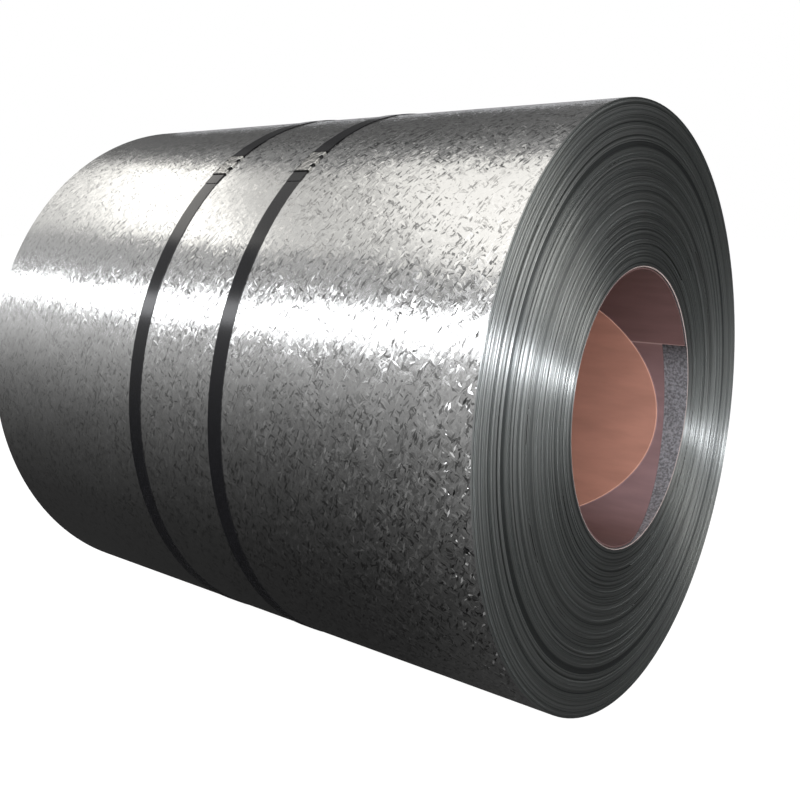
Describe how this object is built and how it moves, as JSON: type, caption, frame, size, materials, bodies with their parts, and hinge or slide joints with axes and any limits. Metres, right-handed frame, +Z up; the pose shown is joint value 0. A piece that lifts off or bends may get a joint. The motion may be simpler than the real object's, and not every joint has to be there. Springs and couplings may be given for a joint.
{
  "type": "galvanised steel coil",
  "caption": "Coil of hot-dip galvanised steel strip lying on its side, with round strapping bands, crimped seals and a fibreboard-lined bore.",
  "frame": {"origin": "on the floor under the middle of the coil", "axes": "+X along the coil's axis, out of the end where the liner stands back most; +Z up"},
  "size_m": [1.203, 1.0917, 1.0919],
  "materials": {
    "galvanised_strip": "hot-dip galvanised, bright with needle-like spangle",
    "strapping": "black waxed steel strapping, satin",
    "seal": "plain zinc-coated sheet, pressed and crimped",
    "fibreboard": "smooth brown fibreboard, matte"
  },
  "bodies": {
    "root": {"coil": "galvanised_strip", "strap_inboard": "strapping", "strap_outboard": "strapping", "seal_inboard": "seal", "seal_outboard": "seal", "bore_liner": "fibreboard"}
  },
  "joints": []
}
